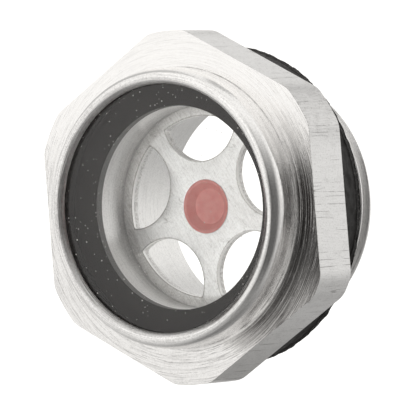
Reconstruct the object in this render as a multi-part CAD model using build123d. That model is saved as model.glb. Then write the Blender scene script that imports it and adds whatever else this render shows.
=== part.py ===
from build123d import *
import math
import os

# An oil level gauge: a round sight glass screwed into the wall of an oil sump.
# Millimetres. The thread axis lies along Y, the window faces -Y and +Z is up.
# The origin is on the thread axis, in the plane of the wall that the seal presses on.

os.makedirs("parts", exist_ok=True)

# Threaded spigot, smooth at the crest diameter of an M27 x 1.5 thread
thread_major = 27.0
spigot_length = 10.6
spigot_wall = 2.1
spigot_chamfer = 0.6
relief_depth = 1.0

# Hexagon, cut from extruded bar. Its flats stand out past the thread by the seat of the
# sealing ring, and its sharp corners are turned down
seat_width = 3.5
hex_thickness = 5.6
corner_cut = 1.18
corner_blend = 3.0

# Bores through the body. The front one stops at the shoulder that carries the reflector
shoulder_width = 0.8
front_bore_depth = 6.35

# Glass, and the flat gasket under it
gasket_width = 2.9
gasket_thickness = 0.9
glass_thickness = 4.0
glass_chamfer = 0.15

# Pocket that holds them, in a boss in front of the hexagon
pocket_depth = 2.5
pocket_gap = 0.05
boss_wall = 1.1

# Lip of the boss, rolled over the glass. A bevel leads up from its bore to a ridge, and the
# wall rolls over to the same ridge in one arc
lip_reach = 0.62
lip_nose = 0.3
lip_rise = 1.05
roll_width = 1.0
roll_height = 1.75

# Reflector: a stamped disc pressed against the shoulder, with D shaped oil holes
reflector_thickness = 1.0
press_gap = 0.02
hole_count = 5
hole_margin = 1.1
hole_inset = 0.11
hole_web = 1.8
hole_corner = 0.3
hole_turn = 89.7

# Dimple pressed into the middle of the reflector, and the red enamel in it
dimple_mouth = 5.74
dimple_floor = 3.5
dimple_depth = 1.0
dimple_wall = 0.85
enamel_thickness = 0.15

# Sealing ring behind the hexagon
ring_thickness = 3.3
ring_inset = 0.05
ring_edge = 0.15
ring_bore_gap = 0.15

# Diameters that follow, from the thread outwards
across_flats = thread_major + 2 * seat_width
corner_diameter = across_flats / math.cos(math.pi / 6) - 2 * corner_cut
rear_bore = thread_major - 2 * spigot_wall
front_bore = rear_bore - 2 * shoulder_width
pocket_diameter = front_bore + 2 * gasket_width
boss_diameter = pocket_diameter + 2 * boss_wall
ring_diameter = across_flats - 2 * ring_inset
hole_outer_diameter = front_bore - 2 * hole_margin
hole_pitch_radius = hole_outer_diameter / 2 - hole_inset
hole_cutter_diameter = 2 * hole_pitch_radius * math.sin(math.pi / hole_count) - hole_web

# Places along the axis. The thread starts at the wall, past the relief under the ring
wall_plane = 0.0
hex_rear = wall_plane - ring_thickness
hex_front = hex_rear - hex_thickness
spigot_end = hex_rear + spigot_length
pocket_floor = hex_front + pocket_depth
glass_rear = pocket_floor - gasket_thickness
glass_front = glass_rear - glass_thickness
lip_crest = glass_front - lip_rise
shoulder = hex_front + front_bore_depth
reflector_rear = shoulder + reflector_thickness


def turned(section):
    """Spin a section, drawn with X as the radius and Y as the axis, round the Y axis."""
    return revolve(section, Axis.Y)


def ring(outer_diameter, inner_diameter, start, end):
    """A plain ring between two places on the axis."""
    section = Polyline(
        (inner_diameter / 2, start),
        (outer_diameter / 2, start),
        (outer_diameter / 2, end),
        (inner_diameter / 2, end),
        close=True,
    )
    return turned(make_face(section))


def make_hexagon():
    """The wrench hexagon, with flats on the left and right and turned corners."""
    flats = RegularPolygon(across_flats / 2, 6, major_radius=False, rotation=30)
    outline = flats & Circle(corner_diameter / 2)
    outline = fillet(outline.vertices(), corner_blend)
    return Pos(0, hex_rear, 0) * extrude(Plane.XZ * outline, hex_thickness)


def make_turned_section():
    """Half section of all that is turned: boss, rolled lip, bores and spigot."""
    lip_bore = pocket_diameter / 2 - lip_reach
    ridge = boss_diameter / 2 - roll_width
    bevel = Polyline(
        (lip_bore, glass_front),
        (lip_bore, glass_front - lip_nose),
        (ridge, lip_crest),
    )
    roll_radius = (roll_width**2 + roll_height**2) / (2 * roll_width)
    roll_end = (boss_diameter / 2, lip_crest + roll_height)
    roll = RadiusArc(bevel @ 1, roll_end, -roll_radius)
    outside = Polyline(
        roll @ 1,
        (boss_diameter / 2, hex_rear),
        (thread_major / 2 - relief_depth, hex_rear),
        (thread_major / 2 - relief_depth, wall_plane - relief_depth),
        (thread_major / 2, wall_plane),
        (thread_major / 2, spigot_end - spigot_chamfer),
        (thread_major / 2 - spigot_chamfer, spigot_end),
        (rear_bore / 2, spigot_end),
    )
    inside = Polyline(
        outside @ 1,
        (rear_bore / 2, shoulder),
        (front_bore / 2, shoulder),
        (front_bore / 2, pocket_floor),
        (pocket_diameter / 2, pocket_floor),
        (pocket_diameter / 2, glass_front),
        bevel @ 0,
    )
    return make_face([bevel, roll, outside, inside])


def make_body():
    """One piece of aluminium: hexagon, boss with rolled lip and threaded spigot."""
    collar = make_hexagon() - Pos(0, hex_rear, 0) * Rot(90, 0, 0) * Cylinder(
        pocket_diameter / 2 + pocket_gap, 4 * hex_thickness
    )
    return collar + turned(make_turned_section())


def make_window():
    """Round glass, its front edge ground off, between the gasket and the lip."""
    radius = pocket_diameter / 2 - pocket_gap
    section = Polyline(
        (0, glass_front),
        (radius - glass_chamfer, glass_front),
        (radius, glass_front + glass_chamfer),
        (radius, glass_rear),
        (0, glass_rear),
        close=True,
    )
    return turned(make_face(section))


def make_window_gasket():
    """Flat rubber ring that the glass is rolled down on."""
    return ring(pocket_diameter - 2 * pocket_gap, front_bore, glass_rear, pocket_floor)


def dimple_corner(offset, depth):
    """Radius of the dimple's cone at a depth, moved out by an offset along its normal."""
    slope = math.atan2((dimple_mouth - dimple_floor) / 2, dimple_depth)
    return dimple_mouth / 2 - depth * math.tan(slope) + offset / math.cos(slope)


def make_reflector():
    """Stamped disc with D shaped oil holes and a pressed dimple."""
    radius = rear_bore / 2 - press_gap
    floor = shoulder + dimple_depth
    bump = floor + dimple_wall
    section = Polyline(
        (0, floor),
        (dimple_floor / 2, floor),
        (dimple_mouth / 2, shoulder),
        (radius, shoulder),
        (radius, reflector_rear),
        (dimple_corner(dimple_wall, reflector_thickness), reflector_rear),
        (dimple_corner(dimple_wall, bump - shoulder), bump),
        (0, bump),
        close=True,
    )
    disc = turned(make_face(section))
    hole = Circle(hole_outer_diameter / 2) & Pos(hole_pitch_radius, 0) * Circle(hole_cutter_diameter / 2)
    hole = fillet(hole.vertices(), hole_corner)
    punch = Pos(0, reflector_rear, 0) * extrude(Plane.XZ * hole, reflector_thickness)
    for turn in range(hole_count):
        disc -= Rot(0, -hole_turn - turn * 360 / hole_count, 0) * punch
    return disc


def make_level_mark():
    """Thin red enamel that lines the dimple."""
    floor = shoulder + dimple_depth
    section = Polyline(
        (0, floor),
        (dimple_floor / 2, floor),
        (dimple_mouth / 2, shoulder),
        (dimple_corner(-enamel_thickness, 0), shoulder),
        (dimple_corner(-enamel_thickness, dimple_depth - enamel_thickness), floor - enamel_thickness),
        (0, floor - enamel_thickness),
        close=True,
    )
    return turned(make_face(section))


def make_sealing_ring():
    """Thick rubber ring that seals the hexagon against the wall, its rear rim bevelled."""
    bore = thread_major / 2 + ring_bore_gap
    rim = ring_diameter / 2
    section = Polyline(
        (bore, hex_rear),
        (rim, hex_rear),
        (rim, wall_plane - ring_edge),
        (rim - ring_edge, wall_plane),
        (bore, wall_plane),
        close=True,
    )
    return turned(make_face(section))


pieces = {
    "body": make_body(),
    "window": make_window(),
    "window_gasket": make_window_gasket(),
    "reflector": make_reflector(),
    "level_mark": make_level_mark(),
    "sealing_ring": make_sealing_ring(),
}

for name, piece in pieces.items():
    export_step(piece, f"parts/{name}.step")
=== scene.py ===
import math

import bpy
from mathutils import Matrix, Vector


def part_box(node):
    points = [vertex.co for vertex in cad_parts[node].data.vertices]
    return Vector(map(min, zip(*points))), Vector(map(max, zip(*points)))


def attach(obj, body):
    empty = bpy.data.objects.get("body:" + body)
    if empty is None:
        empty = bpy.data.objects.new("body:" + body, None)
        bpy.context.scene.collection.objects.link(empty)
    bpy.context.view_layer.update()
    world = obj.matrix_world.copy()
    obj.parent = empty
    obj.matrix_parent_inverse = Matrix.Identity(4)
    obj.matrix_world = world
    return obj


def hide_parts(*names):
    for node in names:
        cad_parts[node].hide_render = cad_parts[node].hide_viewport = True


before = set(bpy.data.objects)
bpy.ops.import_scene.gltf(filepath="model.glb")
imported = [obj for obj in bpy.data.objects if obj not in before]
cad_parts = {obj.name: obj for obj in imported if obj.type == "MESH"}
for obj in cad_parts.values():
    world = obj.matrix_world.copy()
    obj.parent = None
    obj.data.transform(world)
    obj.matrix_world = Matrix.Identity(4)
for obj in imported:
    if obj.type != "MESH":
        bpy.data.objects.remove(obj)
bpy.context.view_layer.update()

# An oil level gauge: a round sight glass that screws into the wall of an oil sump.
# The frame is the gauge's own: the thread runs along Y, the glass faces -Y and +Z is up.


# Studio. A white tent, open where the camera looks in, with a grey table top below.
# The gauge is photographed from the front right, through a long lens.
# The script works in metres, so sizes are written as so many millimetres.

mm = 0.001
camera_lens = 427.9
camera_place = Vector((299.9, -425.0, 16.5)) * mm
camera_aim = Vector((-0.57964, 0.81423, -0.03222))
camera_roll = math.radians(5.556)


class Wire:
    """One socket of a shader. Sums on it add Math nodes, and add() makes any other node."""

    def __init__(self, socket):
        self.socket = socket

    def add(self, kind, settings, inputs, output=0):
        """Adds a node: first its settings, then the values or wires of its sockets."""
        tree = self.socket.id_data
        node = tree.nodes.new("ShaderNode" + kind)
        for name, value in settings.items():
            setattr(node, name, value)
        for name, value in inputs.items():
            if isinstance(value, Wire):
                tree.links.new(value.socket, node.inputs[name])
            else:
                node.inputs[name].default_value = value
        return Wire(node.outputs[output])

    def maths(self, operation, *others):
        """A Math node on this wire and up to two more values or wires."""
        return self.add("Math", {"operation": operation}, dict(enumerate((self, *others))))

    def __add__(self, other):
        return self.maths("ADD", other)

    def __mul__(self, other):
        return self.maths("MULTIPLY", other)

    def __sub__(self, other):
        return self.maths("SUBTRACT", other)

    def __truediv__(self, other):
        return self.maths("DIVIDE", other)

    def __rsub__(self, other):
        return self.add("Math", {"operation": "SUBTRACT"}, {0: other, 1: self})

    def __rtruediv__(self, other):
        return self.add("Math", {"operation": "DIVIDE"}, {0: other, 1: self})

    __radd__ = __add__
    __rmul__ = __mul__

    def ramp(self, start, end, low=0.0, high=1.0):
        """Rises smoothly from low at start to high at end, and is flat outside them."""
        values = {"Value": self, "From Min": start, "From Max": end, "To Min": low, "To Max": high}
        return self.add("MapRange", {"interpolation_type": "SMOOTHSTEP"}, values)


def axes(place):
    """The x, y and z of a place or a direction as three wires."""
    return [place.add("SeparateXYZ", {}, {"Vector": place}, axis) for axis in "XYZ"]


def plug(node, **wires):
    """Connects wires, or sets values, on a node's own sockets."""
    for name, value in wires.items():
        socket = node.inputs[name.replace("_", " ")]
        if isinstance(value, Wire):
            node.id_data.links.new(value.socket, socket)
        else:
            socket.default_value = value


def room_light():
    """How bright the tent is, by bearing in degrees from the front to the right, and height."""
    world = bpy.data.worlds.new("tent")
    bpy.context.scene.world = world
    world.use_nodes = True
    background = world.node_tree.nodes["Background"]
    direction = Wire(background.outputs[0]).add("TexCoord", {}, {}, "Generated")
    x, y, z = axes(direction)
    bearing = x.maths("ARCTAN2", y * -1) * math.degrees(1)
    height = z.maths("ARCSINE") * math.degrees(1)

    # The cloth all round, grey at the table and a little dimmer behind
    light = height.ramp(-75, -30, 0.4, 0.85) + height.ramp(-30, 20, 0.0, 0.18)
    behind = bearing.maths("ABSOLUTE").ramp(85, 140)
    light = light * (1 - behind * height.ramp(-40, 10, 0.5, 0.12))

    # A gap in the cloth on the left, and a seam high up behind
    gap = bearing.ramp(-142, -118) * bearing.ramp(-112, -78, 1, 0)
    light = light * (1 - gap * height.ramp(-5, 25, 0.12, 0.42))
    seam = bearing.maths("ABSOLUTE").ramp(155, 170)
    seam = seam * height.ramp(20, 35) * height.ramp(70, 85, 1, 0)
    light = light * (1 - seam * 0.4)

    # The dark opening to the right of the camera
    opening = bearing.ramp(-2, 52) * bearing.ramp(94, 124, 1, 0)
    opening = opening * height.ramp(4, 62, 1, 0.12) * height.ramp(-80, -35, 0.4, 1)
    light = light * (1 - opening * 0.86)

    # Brighter cloth straight behind the gauge, and the shade of the camera in front
    at_camera = camera_aim * -1
    towards_camera = x * at_camera.x + y * at_camera.y + z * at_camera.z
    light = light + towards_camera.ramp(-math.cos(0.2), -math.cos(0.45), 0.5, 0)
    light = light * towards_camera.ramp(math.cos(0.35), math.cos(0.12), 1, 0.5)

    # The camera itself sees plain white cloth. Sockets 0, 2 and 3 of a Mix node are its
    # factor and its two numbers
    seen = light.add("LightPath", {}, {}, "Is Camera Ray")
    light = light.add("Mix", {"data_type": "FLOAT"}, {0: seen, 2: light, 3: 1.2})
    plug(background, Color=(1.01, 1, 0.98, 1), Strength=light)


room_light()
bpy.context.scene.view_settings.view_transform = "Standard"

camera_data = bpy.data.cameras.new("camera")
camera_data.sensor_width = 36
camera_data.lens = camera_lens
camera_data.clip_start = 10 * mm
camera = bpy.data.objects.new("camera", camera_data)
bpy.context.scene.collection.objects.link(camera)
aimed = camera_aim.to_track_quat("-Z", "Y").to_matrix().to_4x4()
placed = Matrix.Translation(camera_place) @ aimed

# The gauge stands turned a little round its thread, so the camera goes round it instead
camera.matrix_world = Matrix.Rotation(camera_roll, 4, "Y") @ placed
bpy.context.scene.camera = camera


# Body. Aluminium, turned and threaded from hexagon bar, with its front lip rolled over
# the glass. It screws into the sump wall and carries all the other pieces.

touching = 0.0005 * mm
smooth_angle = math.radians(30)


def draw(points):
    """Starts a mesh with one point and draws a line on from it, point by point."""
    bpy.ops.object.select_all(action="DESELECT")
    bpy.ops.mesh.primitive_plane_add(size=mm)
    bpy.ops.object.mode_set(mode="EDIT")
    bpy.context.tool_settings.mesh_select_mode = (True, False, False)
    bpy.ops.mesh.select_all(action="SELECT")
    bpy.ops.mesh.merge(type="CENTER")
    bpy.ops.transform.translate(value=Vector(points[0]))
    for last, point in zip(points, points[1:]):
        step = Vector(point) - Vector(last)
        bpy.ops.mesh.extrude_region_move(TRANSFORM_OT_translate={"value": step})
    bpy.ops.mesh.select_all(action="SELECT")
    bpy.ops.mesh.remove_doubles(threshold=touching)


def close_up(name):
    """Merges the seams of the mesh in hand, turns its faces outwards and smooths it."""
    bpy.ops.mesh.select_all(action="SELECT")
    bpy.ops.mesh.remove_doubles(threshold=touching)
    bpy.ops.mesh.normals_make_consistent(inside=False)
    bpy.ops.object.mode_set(mode="OBJECT")
    bpy.ops.object.shade_smooth_by_angle(angle=smooth_angle)
    piece = bpy.context.object
    piece.name = name
    piece.data.name = name
    return piece


def turn(name, outline, steps=256):
    """Turns an outline of (radius, place along the axis) pairs round the thread axis."""
    draw([(radius, place, 0) for radius, place in outline])
    bpy.ops.mesh.spin(steps=steps, angle=math.tau, center=(0, 0, 0), axis=(0, 1, 0))
    return close_up(name)


def extrude(name, outline, start, end):
    """Fills a closed outline of (x, z) pairs and extrudes it along the thread axis."""
    draw([(x, start, z) for x, z in outline])
    bpy.ops.mesh.edge_face_add()
    bpy.ops.mesh.extrude_region_move(TRANSFORM_OT_translate={"value": (0, end - start, 0)})
    return close_up(name)


def on_circle(radius, degrees, centre=(0, 0)):
    """A point on a circle, at an angle from the first axis towards the second."""
    angle = math.radians(degrees)
    return centre[0] + radius * math.cos(angle), centre[1] + radius * math.sin(angle)


def arc(centre, radius, start, end, count):
    """Points on a circle from one angle in degrees to another, in so many steps."""
    return [on_circle(radius, start + (end - start) * i / count, centre) for i in range(count + 1)]


def pick(piece):
    """Selects a piece and nothing else, for the operators that follow."""
    bpy.ops.object.select_all(action="DESELECT")
    piece.select_set(True)
    bpy.context.view_layer.objects.active = piece


def combine(piece, tool, operation):
    """Joins a tool shape to a piece or cuts it out, and throws the tool away."""
    pick(piece)
    change = piece.modifiers.new("combine", "BOOLEAN")
    change.object = tool
    change.operation = operation
    change.solver = "EXACT"
    bpy.ops.object.modifier_apply(modifier=change.name)
    bpy.data.objects.remove(tool)


body_low, body_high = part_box("body")
ring_low, ring_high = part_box("sealing_ring")
glass_low, glass_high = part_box("window")
gasket_low, gasket_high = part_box("window_gasket")
reflector_low, reflector_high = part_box("reflector")
contact = 0.01 * mm

# The hexagon. Its corners are turned down, the lower right one less than the others
hex_thickness = 5.6 * mm
hex_rear = ring_low.y
hex_front = hex_rear - hex_thickness
flat_radius = body_high.x
corner_radius = body_high.z
corner_blend = 3.0 * mm
sharp_corner = 19.0 * mm
sharp_blend = 2.8 * mm

# The boss and its rolled lip. A nose leads up from the lip's bore to a ridge, and the
# wall rolls over to the same ridge
crest = body_low.y
boss_radius = 14.6 * mm
roll_width = 1.0 * mm
roll_height = 1.95 * mm
ridge = boss_radius - roll_width
lip_bore = 12.88 * mm
nose_width = ridge - lip_bore
nose_height = 0.82 * mm
lip_foot = 0.2 * mm
lip_taper = 0.03 * mm
undercut = 0.3 * mm

# The bores, the glass pocket, and the spigot behind the hexagon
front_bore = 10.6 * mm
rear_bore = 11.4 * mm
shoulder = reflector_low.y
pocket_gap = 0.05 * mm
pocket_radius = glass_high.x + pocket_gap
relief = 1.0 * mm
spigot_chamfer = 0.6 * mm
thread_crest = 13.5 * mm
thread_root = 12.58 * mm
thread_pitch = 1.5 * mm

outline = [
    (lip_bore + undercut, glass_low.y + contact),
    (lip_bore + lip_taper, glass_low.y - lip_foot),
]
for degrees in range(-90, 91, 5):
    width, fall = (nose_width, nose_height) if degrees <= 0 else (roll_width, roll_height)
    angle = math.radians(degrees)
    outline.append((ridge + math.sin(angle) * width, crest + (1 - math.cos(angle)) * fall))
outline += [
    (boss_radius, hex_front),
    (boss_radius, hex_rear),
    (thread_crest - relief, hex_rear),
    (thread_crest - relief, ring_high.y - relief),
    (thread_crest, ring_high.y),
    (thread_crest, body_high.y - spigot_chamfer),
    (thread_crest - spigot_chamfer, body_high.y),
    (rear_bore, body_high.y),
    (rear_bore, shoulder),
    (front_bore, shoulder),
    (front_bore, gasket_high.y),
    (pocket_radius, gasket_high.y),
    (pocket_radius, glass_low.y + contact),
    outline[0],
]
body = turn("body_metal", outline)


def hexagon_outline():
    """Flats on the left and right. Each corner is turned to a circle with blended edges."""
    points = []
    for corner in range(6):
        cut, blend = (sharp_corner, sharp_blend) if corner == 5 else (corner_radius, corner_blend)
        side = math.degrees(math.acos((flat_radius - blend) / (cut - blend)))
        first = 60 * corner
        last = first + 60
        points += arc(on_circle(cut - blend, first + side), blend, first, first + side, 8)
        points += arc((0, 0), cut, first + side, last - side, 6)[1:-1]
        points += arc(on_circle(cut - blend, last - side), blend, last - side, last, 8)
    return points + points[:1]


hexagon = extrude("hexagon", hexagon_outline(), hex_rear, hex_front)
inside = turn("inside", [
    (pocket_radius, body_low.y),
    (pocket_radius, body_high.y),
    (0, body_high.y),
    (0, body_low.y),
    (pocket_radius, body_low.y),
])
combine(hexagon, inside, "DIFFERENCE")
combine(body, hexagon, "UNION")

# The thread, cut by a V that winds round the spigot from the relief to its end
crest_half = 1.31 * mm / 2
root_half = 0.25 * mm / 2
past_crest = 0.5 * mm
flank_slope = (crest_half - root_half) / (thread_crest - thread_root)
mouth_half = crest_half + flank_slope * past_crest
first_turn = -1.6 * mm
groove_turns = 7
turn_steps = 192
draw([
    (thread_root, first_turn - root_half, 0),
    (thread_root, first_turn + root_half, 0),
    (thread_crest + past_crest, first_turn + mouth_half, 0),
    (thread_crest + past_crest, first_turn - mouth_half, 0),
    (thread_root, first_turn - root_half, 0),
])
bpy.ops.mesh.edge_face_add()
bpy.ops.object.mode_set(mode="OBJECT")
groove = bpy.context.object
screw = groove.modifiers.new("screw", "SCREW")
screw.axis = "Y"
screw.angle = -math.tau
screw.screw_offset = thread_pitch
screw.iterations = groove_turns
screw.steps = turn_steps
screw.render_steps = turn_steps
bpy.ops.object.modifier_apply(modifier="screw")
bpy.ops.object.mode_set(mode="EDIT")
combine(body, close_up("thread_groove"), "DIFFERENCE")
bpy.ops.object.shade_smooth_by_angle(angle=smooth_angle)


def new_finish(name):
    """An empty material with its shader and the place on the piece as a wire."""
    material = bpy.data.materials.new(name)
    material.use_nodes = True
    shader = material.node_tree.nodes["Principled BSDF"]
    return material, shader, Wire(shader.outputs[0]).add("TexCoord", {}, {}, "Object")


def from_axis(place):
    """How far a place on the piece is from the thread axis."""
    x, y, z = axes(place)
    return (x * x + z * z).maths("SQRT")


def towards(place, degrees):
    """1 on one side of the thread axis and -1 on the other. 0 degrees is right, 90 is up."""
    x, y, z = axes(place)
    across, up = on_circle(1, degrees)
    return (x * across + z * up) / from_axis(place)


def noise(x, y, z, w=0.0, detail=3.0):
    """Cloudy marks about one unit across, from 0 to 1."""
    where = x.add("CombineXYZ", {}, {"X": x, "Y": y, "Z": z})
    values = {"Vector": where, "W": w, "Scale": 1.0, "Detail": detail, "Roughness": 0.6}
    return x.add("TexNoise", {"noise_dimensions": "4D"}, values)


def mottle(place, size, depth=None, detail=3.0):
    """Cloudy marks of one size all over, or of another depth along the thread axis."""
    x, y, z = axes(place)
    return noise(x / size, y / (depth or size), z / size, detail=detail)


def ring_marks(place, length, width, detail=3.0):
    """Marks that a lathe leaves: arcs round the axis, so many radians long and metres wide."""
    x, y, z = axes(place)
    radius = from_axis(place)
    return noise(x / radius / length, z / radius / length, radius / width, y / width, detail)


def roughen(height, depth):
    """Turns a height from 0 to 1 into surface detail of that depth in metres."""
    return height.add("Bump", {}, {"Height": height, "Strength": 1.0, "Distance": depth}, "Normal")


def tint(amount, low, high):
    """Blends two colours. Sockets 0, 6 and 7 of a Mix node are its factor and colours."""
    return amount.add("Mix", {"data_type": "RGBA"}, {0: amount, 6: (*low, 1), 7: (*high, 1)}, 2)


material, shader, place = new_finish("turned_aluminium")
x, y, z = axes(place)
radius = from_axis(place)
mark_depth = 0.03 * mm
fade = 0.1 * mm

# Marks of the lathe tool, from wide waves to fine scores, and the grain of the metal
waves = ring_marks(place, 0.7, 0.5 * mm, detail=2.0)
streaks = ring_marks(place, 0.3, 0.16 * mm)
scores = ring_marks(place, 0.15, 0.1 * mm, detail=2.0).ramp(0.56, 0.66)
long_scores = ring_marks(place, 1.2, 0.12 * mm, detail=2.0).ramp(0.5, 0.55)
grain = mottle(place, 0.18 * mm)
dents = mottle(place, 0.3 * mm, detail=2.0)

# Where each surface is, by distance from the axis and place along it
before_glass = y.ramp(glass_low.y, glass_low.y + fade, 1, 0)
before_shoulder = y.ramp(shoulder, shoulder + fade, 1, 0)
on_face = radius.ramp(boss_radius, boss_radius + fade)
on_wall = y.ramp(hex_front - 1.9 * mm, hex_front - 1.2 * mm)
on_wall = on_wall * radius.ramp(front_bore, pocket_radius)
on_lip = radius.ramp(ridge + 0.4 * mm, ridge + 0.6 * mm, 1, 0) * before_glass
in_bore = radius.ramp(rear_bore, rear_bore + 0.3 * mm, 1, 0)
on_thread = radius.ramp(thread_root - 0.3 * mm, thread_root - 0.2 * mm)
on_thread = on_thread * y.ramp(ring_low.y + 1 * mm, ring_low.y + 1.2 * mm)

# The face is cut coarsest and the foot of the wall next, both half as much at the top.
# The foot of the wall is also satin
coarse = on_face.maths("MAXIMUM", on_wall * 0.6) * towards(place, 90).ramp(0.3, 0.9, 1, 0.5)
satin = y.ramp(hex_front - 1.6 * mm, hex_front - 1.1 * mm) * on_wall * (1 - on_face)

# The face is turned a little hollow on the right and at the lower right. It rises from
# a circle outwards, by so much for each millimetre
right = towards(place, 5).ramp(0.75, 0.95)
right_start, right_slope = 15.6 * mm, 0.14
lower_right = towards(place, -42).ramp(0.8, 0.94)
lower_start, lower_slope = 14.9 * mm, 0.27
hollow = (radius - right_start).maths("MAXIMUM", 0.0) * right * right_slope
hollow = hollow + (radius - lower_start).maths("MAXIMUM", 0.0) * lower_right * lower_slope

# Painted shade in the corner between boss and face, and a painted dark reflection in the cuts on
# the right
corner_shade = radius.ramp(boss_radius - 0.1 * mm, boss_radius - 0.02 * mm)
corner_shade = corner_shade * radius.ramp(boss_radius, boss_radius + 0.12 * mm, 1, 0)
corner_shade = corner_shade * y.ramp(hex_front - 0.14 * mm, hex_front - 0.02 * mm)
corner_shade = corner_shade * ring_marks(place, 0.2, 2 * mm).ramp(0.4, 0.65)
# Painted dark reflection on the right of the face, broken by the long scores
painted_dark_reflection = radius.ramp(boss_radius + 0.2 * mm, boss_radius + 0.55 * mm)
painted_dark_reflection = painted_dark_reflection * radius.ramp(15.8 * mm, 16.8 * mm, 1, 0.75)
painted_dark_reflection = painted_dark_reflection * towards(place, -25).ramp(0.68, 0.93) * (1 - long_scores * 0.7)

# Painted shade in the gap under the lip and on the lip's nose, darkest at the lower right,
# and the slope that the rolling tore on the left
painted_gap_shade = y.ramp(glass_low.y - 0.3 * mm, glass_low.y - 0.2 * mm) * before_glass
painted_gap_shade = painted_gap_shade * radius.ramp(boss_radius - 0.9 * mm, boss_radius - 0.8 * mm, 1, 0)
shaded = towards(place, -35).ramp(0.6, 0.95)
nose = (radius - shaded * 0.25 * mm).ramp(ridge - 0.4 * mm, ridge - 0.15 * mm, 1, 0)
nose = nose * before_glass
torn = towards(place, 180).ramp(0.3, 0.8) * radius.ramp(ridge - 0.2 * mm, ridge, 1, 0)

# Painted shade darkens the front bore in two steps towards the shoulder, and the bore is lighter
# past it
bore_shade = in_bore * before_shoulder * y.ramp(gasket_high.y + 0.9 * mm, shoulder - 0.7 * mm)
bore_shade_deepest = in_bore * before_shoulder * y.ramp(shoulder - 0.8 * mm, shoulder - 0.1 * mm)
past_shoulder = in_bore * (1 - before_shoulder)

# The upper face is painted lighter, as painted light. The lower face, and the rest on the left,
# carry painted shade
painted_light_top = on_face * towards(place, 90).ramp(0.1, 0.7)
painted_shade_low_left = towards(place, 180).ramp(-0.3, 0.4) * (1 - on_face) + on_face - painted_light_top

# Height of the surface in mark depths, how dark the metal is, and how rough
height = waves * 0.3 + grain * (0.2 + in_bore * 0.3) + hollow / mark_depth
height = height + streaks * (coarse * 0.6 + 0.15) + scores * (coarse * 0.4 + 0.06)
height = height + (streaks * (torn * 3 + 0.4) + dents * (torn + 0.04) - grain * 0.15) * on_lip

dark = grain.ramp(0.42, 0.64) * (0.12 - on_face * 0.04)
dark = dark + streaks.ramp(0.45, 0.65) * (coarse * 0.07 + 0.08) + scores * (coarse * 0.15 + 0.04)
# Painted light on the upper face, painted shade below and on the left
dark = dark * (1 - painted_light_top * 0.55) + painted_shade_low_left * 0.1
# Painted shade in the corner, and the painted dark reflection on the right
dark = dark + corner_shade * 0.5 + painted_dark_reflection * (0.95 - lower_right * 0.27)
# Painted shade under the lip and on its nose
dark = dark + painted_gap_shade + nose * (shaded * 0.55 + 0.25)
dark = dark + (dents.ramp(0.4, 0.65) * 0.06 + streaks.ramp(0.45, 0.6) * 0.08) * on_lip
# Painted shade down the front bore, lighter past the shoulder
dark = dark + in_bore * 0.08 + bore_shade * 0.3 + bore_shade_deepest * 0.2 - past_shoulder * 0.16
dark = dark + on_thread * (streaks.ramp(0.5, 0.65) * 0.3 - 0.1)

rough = waves * 0.06 + streaks * 0.08 + 0.06 + coarse * 0.06 + satin * 0.1
rough = rough + in_bore * 0.2 + nose * 0.2 + on_thread * 0.15
plug(
    shader,
    Base_Color=tint(dark, (0.99, 0.98, 0.97), (0.09, 0.083, 0.08)),
    Metallic=1.0,
    Roughness=rough,
    Normal=roughen(height, mark_depth),
)
body.data.materials.append(material)

# The flats keep the skin of the drawn bar: fine grain and a few deep lines along it, and
# a burr at the front. The upper turned corners are scuffed, and the lower flats carry painted
# shade, darker towards the bottom
material, shader, place = new_finish("drawn_aluminium")
x, y, z = axes(place)
fine = mottle(place, 0.14 * mm, 1.2 * mm, detail=2.0)
broad = mottle(place, 0.9 * mm, 1.5 * mm, detail=4.0)
speckle = mottle(place, 0.2 * mm, detail=2.0)
line = (mottle(place, 1.2 * mm, 60 * mm, detail=1.0) - 0.5).maths("ABSOLUTE")
line = line.ramp(0.002, 0.009, 1, 0) * mottle(place, 3 * mm, 4 * mm).ramp(0.4, 0.55)
burr = y.ramp(hex_front + 0.04 * mm, hex_front + 0.16 * mm, 1, 0) * fine.ramp(0.35, 0.6)
corner = from_axis(place).ramp(corner_radius - 0.9 * mm, corner_radius - 0.1 * mm)
corner = corner * z.ramp(0, 6 * mm)
# Painted shade on the lower flats, darker towards the bottom
low = z.ramp(-18 * mm, -11 * mm, 1, 0)
dark = line * 0.45 + speckle.ramp(0.5, 0.75) * 0.3 + broad.ramp(0.5, 0.75) * 0.12
dark = dark + burr * 0.5 + low * 0.4 + corner * (fine.ramp(0.4, 0.65) * 0.18 + 0.12)
plug(
    shader,
    Base_Color=tint(dark, (0.91, 0.905, 0.9), (0.25, 0.24, 0.23)),
    Metallic=1.0,
    Roughness=broad * 0.15 + speckle * 0.1 + 0.25,
    Normal=roughen(fine * 0.8 + broad * 0.8 + speckle * 0.6 - line * 0.8, mark_depth),
)
body.data.materials.append(material)
for face in body.data.polygons:
    distance = Vector((face.center.x, face.center.z)).length
    on_side = abs(face.normal.y) < 0.5 and face.center.y < hex_rear
    if on_side and distance > flat_radius - 0.1 * mm:
        face.material_index = 1
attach(body, "root")
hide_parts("body")


# Window. Flat round glass, pressed on the gasket by the rolled lip. Its edge is ground,
# and fine dust lies on its front.

glass_radius = glass_high.x
ground = 0.15 * mm
window = turn("window_glass", [
    (0, glass_low.y),
    (glass_radius - ground, glass_low.y),
    (glass_radius, glass_low.y + ground),
    (glass_radius, glass_high.y),
    (0, glass_high.y),
])
material, shader, place = new_finish("clear_glass")
x, y, z = axes(place)
plug(shader, Base_Color=(0.985, 0.99, 0.985, 1), Roughness=0.0, IOR=1.5, Transmission_Weight=1.0)

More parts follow.
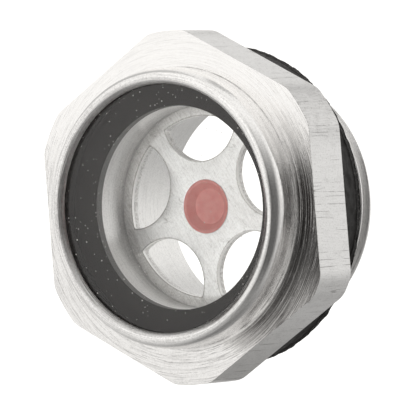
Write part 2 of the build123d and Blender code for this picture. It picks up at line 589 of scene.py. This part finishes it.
# A few of these cells hold a speck of dust, more of them in a drift. A speck reaches
# from a tenth to a quarter of a cell out from its middle
cell = 0.3 * mm
drift_size = 2.5 * mm
flat = place.add("CombineXYZ", {}, {"X": x, "Y": z})
cells = {"Vector": flat, "Scale": 1 / cell}
from_middle = place.add("TexVoronoi", {"voronoi_dimensions": "2D"}, cells, "Distance")
lots = place.add("TexVoronoi", {"voronoi_dimensions": "2D"}, cells, "Color")
chance = lots.add("SeparateColor", {}, {"Color": lots}, "Red")
reach = lots.add("SeparateColor", {}, {"Color": lots}, "Green")
drift = noise(x / drift_size, 0.0, z / drift_size, detail=1.0)
speck = (from_middle - reach * reach * 0.12).ramp(0.09, 0.13, 1, 0)
speck = speck * (chance + drift * 0.5).ramp(1.195, 1.2)
speck = speck * y.ramp(glass_low.y + 0.01 * mm, glass_low.y + 0.02 * mm, 1, 0)
clean = Wire(shader.outputs[0])
dust = clean.add("BsdfDiffuse", {}, {"Color": (0.85, 0.83, 0.8, 1)})
dusty = clean.add("MixShader", {}, {0: speck, 1: clean, 2: dust})
plug(material.node_tree.nodes["Material Output"], Surface=dusty)
window.data.materials.append(material)
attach(window, "root")
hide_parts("window")


# Window gasket. A flat washer of black rubber between the glass and the pocket floor.
# Its inner edge carries painted light, paler where its wall is lit.

gasket = turn("gasket_washer", [
    (front_bore, gasket_low.y - contact),
    (gasket_high.x, gasket_low.y - contact),
    (gasket_high.x, gasket_high.y - contact),
    (front_bore, gasket_high.y - contact),
    (front_bore, gasket_low.y - contact),
])
material, shader, place = new_finish("gasket_rubber")
grain = mottle(place, 0.1 * mm, detail=4.0)
cloud = mottle(place, 2 * mm)
# Painted light on the inner edge, where its wall is lit
painted_light_edge = from_axis(place).ramp(front_bore + 0.01 * mm, front_bore + 0.04 * mm, 1, 0)
pale = painted_light_edge * 0.8 + cloud * 0.1 + grain * 0.1
plug(
    shader,
    Base_Color=tint(pale, (0.055, 0.048, 0.046), (0.21, 0.207, 0.2)),
    Roughness=cloud * 0.2 + 0.6,
    Specular_IOR_Level=0.1,
    Normal=roughen(grain, 0.005 * mm),
)
gasket.data.materials.append(material)
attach(gasket, "root")
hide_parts("window_gasket")


# Reflector. A disc of aluminium sheet, punched with five D shaped oil holes and pressed
# with a dimple in the middle. It is pressed in against the shoulder of the rear bore.

disc_radius = reflector_high.x
disc_edge = 0.1 * mm
sheet = 1.0 * mm
disc_rear = shoulder + sheet

# The dimple. Its mouth is rounded, and its back stands out behind the sheet
mark_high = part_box("level_mark")[1]
mouth = mark_high.x
mouth_round = 0.35 * mm
dimple_floor = 1.75 * mm
dimple_base = mark_high.y
bend = math.atan2(dimple_base - shoulder, mouth - dimple_floor)
mouth_centre = (mouth + mouth_round * math.tan(bend / 2), shoulder + mouth_round)
back_mouth = mouth + 0.25 * mm
back_floor = dimple_floor + 0.35 * mm

# The holes. Each is a round one, cut off by a circle round the axis
hole_count = 5
hole_share = math.tau / hole_count
first_hole = math.radians(89.7)
hole_outer = 9.5 * mm
hole_pitch = 9.39 * mm
hole_round = 4.62 * mm
hole_corner = 0.3 * mm

disc = turn("reflector_disc", [
    (0, dimple_base),
    (dimple_floor, dimple_base),
    *arc(mouth_centre, mouth_round, -90 - math.degrees(bend), -90, 6),
    (disc_radius - disc_edge, shoulder),
    (disc_radius, shoulder + disc_edge),
    (disc_radius, disc_rear),
    (back_mouth, disc_rear),
    (back_floor, reflector_high.y),
    (0, reflector_high.y),
])


def hole_outline():
    """A D shaped hole on the first axis, with its two tips rounded."""
    outer = hole_outer - hole_corner
    inner = hole_round - hole_corner
    cosine = (outer**2 + hole_pitch**2 - inner**2) / (2 * outer * hole_pitch)
    half = math.degrees(math.acos(cosine))
    tip = on_circle(outer, half)
    start = math.degrees(math.atan2(tip[1], tip[0] - hole_pitch))
    far = arc((0, 0), hole_outer, -half, half, 24)
    upper_tip = arc(tip, hole_corner, half, start, 8)
    near = arc((hole_pitch, 0), hole_round, start, 360 - start, 64)
    lower_tip = arc((tip[0], -tip[1]), hole_corner, 360 - start, 360 - half, 8)
    return far + upper_tip[1:] + near[1:] + lower_tip[1:]


for hole in range(hole_count):
    turned = Matrix.Rotation(first_hole + hole * hole_share, 2)
    punched = [turned @ Vector(point) for point in hole_outline()]
    punch = extrude("punch", punched, shoulder - sheet, shoulder + 2 * sheet)
    combine(disc, punch, "DIFFERENCE")

# The sheet shows the lines of its rolling, pits and scratches, and painted shade by its rim
material, shader, place = new_finish("stamped_aluminium")
x, y, z = axes(place)
radius = from_axis(place)
grain = mottle(place, 0.2 * mm, detail=4.0)
cloud = mottle(place, 1.5 * mm)
pits = mottle(place, 0.3 * mm, detail=2.0).ramp(0.66, 0.74)
rolled = noise((x + z * 0.6) / (0.12 * mm), y / (0.3 * mm), (z - x * 0.6) / (1.5 * mm))
scratch = noise((x * 0.5 + z) / (0.7 * mm), 0.0, (x - z * 0.5) / (5 * mm), detail=1.0) - 0.5
scratch = scratch.maths("ABSOLUTE").ramp(0.003, 0.01, 1, 0) * cloud.ramp(0.5, 0.6)
# Painted shade on the sheet by its rim, next to the bore wall
rim_shade = radius.ramp(hole_outer - 0.3 * mm, hole_outer + 0.4 * mm)

# Each hole has a dark edge. All five are folded into one, to measure how near it is
bearing = z.maths("ARCTAN2", x) - first_hole + hole_share / 2
bearing = bearing.maths("FLOORED_MODULO", hole_share) - hole_share / 2
across = radius * bearing.maths("COSINE") - hole_pitch
up = radius * bearing.maths("SINE")
hole_edge = (across * across + up * up).maths("SQRT") - hole_round
hole_edge = hole_edge.maths("MAXIMUM", radius - hole_outer).ramp(0.02 * mm, 0.2 * mm, 1, 0)

dark = pits * 0.4 + scratch * 0.3 + rim_shade * 0.4 + hole_edge * 0.55 + 0.06
dark = dark + grain.ramp(0.4, 0.65) * 0.16 + rolled.ramp(0.4, 0.65) * 0.16
plug(
    shader,
    Base_Color=tint(dark, (0.98, 0.975, 0.97), (0.3, 0.28, 0.26)),
    Metallic=1.0,
    Roughness=cloud * 0.12 + 0.25,
    Normal=roughen(grain * 0.7 + rolled * 0.5 - pits * 0.8 - scratch * 0.4, mark_depth),
)
disc.data.materials.append(material)

# The rounded edges are worn and dark
material, shader, place = new_finish("edge_aluminium")
worn = mottle(place, 0.3 * mm)
plug(
    shader,
    Base_Color=tint(worn.ramp(0.35, 0.6), (0.3, 0.29, 0.28), (0.12, 0.115, 0.11)),
    Metallic=1.0,
    Roughness=worn * 0.2 + 0.2,
    Normal=roughen(worn, mark_depth),
)
disc.data.materials.append(material)

# The punched walls are bright where the punch sheared them, and torn grey behind that
material, shader, place = new_finish("sheared_aluminium")
x, y, z = axes(place)
tears = mottle(place, 0.2 * mm, 0.25 * mm, detail=4.0)
snapped = y.ramp(shoulder + 0.35 * mm, shoulder + 0.5 * mm)
dark = tears.ramp(0.4, 0.6) * snapped * 0.5 + snapped * 0.1
plug(
    shader,
    Base_Color=tint(dark, (0.98, 0.97, 0.96), (0.4, 0.38, 0.36)),
    Metallic=1.0,
    Roughness=tears * 0.2 + 0.3,
    Normal=roughen(tears * (snapped + 0.2), 0.1 * mm),
)
disc.data.materials.append(material)

pick(disc)
edges = disc.modifiers.new("edges", "BEVEL")
edges.width = 0.12 * mm
edges.segments = 3
edges.limit_method = "ANGLE"
edges.angle_limit = math.radians(60)
edges.material = 1
bpy.ops.object.modifier_apply(modifier="edges")
bpy.ops.object.shade_smooth_by_angle(angle=smooth_angle)
for face in disc.data.polygons:
    distance = Vector((face.center.x, face.center.z)).length
    upright = face.material_index == 0 and abs(face.normal.y) < 0.3
    if upright and mouth + 0.5 * mm < distance < hole_outer + 0.1 * mm:
        face.material_index = 2
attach(disc, "root")
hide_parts("reflector")


# Level mark. Red enamel run into the dimple and baked. The eye finds the middle of the
# glass by it.

# It lies flat on the floor, pools in the corner and runs thin over the rounded mouth
enamel = 0.12 * mm
mark = turn("enamel_mark", [
    (0, dimple_base - enamel),
    (dimple_floor - 0.2 * mm, dimple_base - enamel),
    (dimple_floor + 0.1 * mm, dimple_base - enamel * 1.5),
    (mouth - 0.35 * mm, shoulder + 0.1 * mm),
    (mouth - 0.12 * mm, shoulder + 0.03 * mm),
    (mouth - 0.02 * mm, shoulder + 0.06 * mm),
    (dimple_floor, dimple_base - contact),
    (0, dimple_base - contact),
])
material, shader, place = new_finish("red_enamel")
flow = mottle(place, 0.9 * mm)
grain = mottle(place, 0.15 * mm)
plug(
    shader,
    Base_Color=tint(flow.ramp(0.3, 0.7), (0.95, 0.28, 0.245), (1.0, 0.37, 0.33)),
    Roughness=grain * 0.15 + 0.25,
    Normal=roughen(flow * 0.8 + grain * 0.2, 0.05 * mm),
)
mark.data.materials.append(material)
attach(mark, "root")
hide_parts("level_mark")


# Sealing ring. Thick black rubber between the hexagon and the sump wall. It was moulded,
# with a ragged flash line left near its rear rim, and its surface is worn uneven.

# The rim is drawn in many short steps, so that its wear has points to move
ring_radius = ring_high.x
ring_bore = 13.65 * mm
ring_edge = 0.1 * mm
rim_radius = ring_radius - ring_edge
rim_step = 0.15 * mm
rim_points = 16
flash_line = ring_high.y - 0.74 * mm
seal = turn("seal_ring", [
    (ring_bore, hex_rear + contact),
    (rim_radius - ring_edge, hex_rear + contact),
    *[(rim_radius, hex_rear + ring_edge + i * rim_step) for i in range(rim_points)],
    (ring_radius - 0.05 * mm, flash_line - 0.08 * mm),
    (ring_radius, flash_line),
    (ring_radius - 0.06 * mm, flash_line + 0.06 * mm),
    (ring_radius - 0.06 * mm, flash_line + 0.25 * mm),
    (ring_radius - 0.03 * mm, flash_line + 0.45 * mm),
    (ring_radius - 0.03 * mm, ring_high.y - 0.06 * mm),
    (rim_radius, ring_high.y),
    (ring_bore, ring_high.y),
    (ring_bore, hex_rear + contact),
], steps=512)
pick(seal)
ragged = bpy.data.textures.new("ragged", "CLOUDS")
ragged.noise_scale = 0.8 * mm
ragged.noise_depth = 3
wear = seal.modifiers.new("wear", "DISPLACE")
wear.texture = ragged
wear.texture_coords = "LOCAL"
wear.direction = "NORMAL"
wear.mid_level = 1.0
wear.strength = 0.35 * mm
bpy.ops.object.modifier_apply(modifier="wear")

# Crumbs of rubber stick to it, most of them behind the flash line
material, shader, place = new_finish("ring_rubber")
x, y, z = axes(place)
grain = mottle(place, 0.15 * mm, detail=4.0)
behind_flash = y.ramp(flash_line - 0.02 * mm, flash_line + 0.05 * mm)
crumbs = mottle(place, 0.25 * mm, 0.12 * mm, detail=2.0).ramp(0.6, 0.68)
crumbs = crumbs * (behind_flash * 0.8 + 0.12)
plug(
    shader,
    Base_Color=tint(crumbs, (0.02, 0.018, 0.017), (0.25, 0.24, 0.23)),
    Roughness=grain * 0.3 + 0.45,
    Normal=roughen(grain * (behind_flash * 2 + 0.5), 0.05 * mm),
)
seal.data.materials.append(material)
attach(seal, "root")
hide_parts("sealing_ring")


# Floor. A plain pale table top under the gauge, lit as brightly as the tent behind it.
# It is kept out of the gauge's reflections and throws no light on it.

floor_width = 6000 * mm
floor_drop = 12 * mm
floor_place = (0, 0, body_low.z - floor_drop)
bpy.ops.object.select_all(action="DESELECT")
bpy.ops.mesh.primitive_plane_add(size=floor_width, location=floor_place)
floor = bpy.context.object
floor.name = "floor"
material, shader, place = new_finish("pale_floor")
plug(
    shader,
    Base_Color=(0.9, 0.9, 0.9, 1),
    Roughness=0.8,
    Emission_Color=(1, 1, 1, 1),
    Emission_Strength=0.45,
)
floor.data.materials.append(material)
floor.visible_glossy = False
floor.visible_diffuse = False
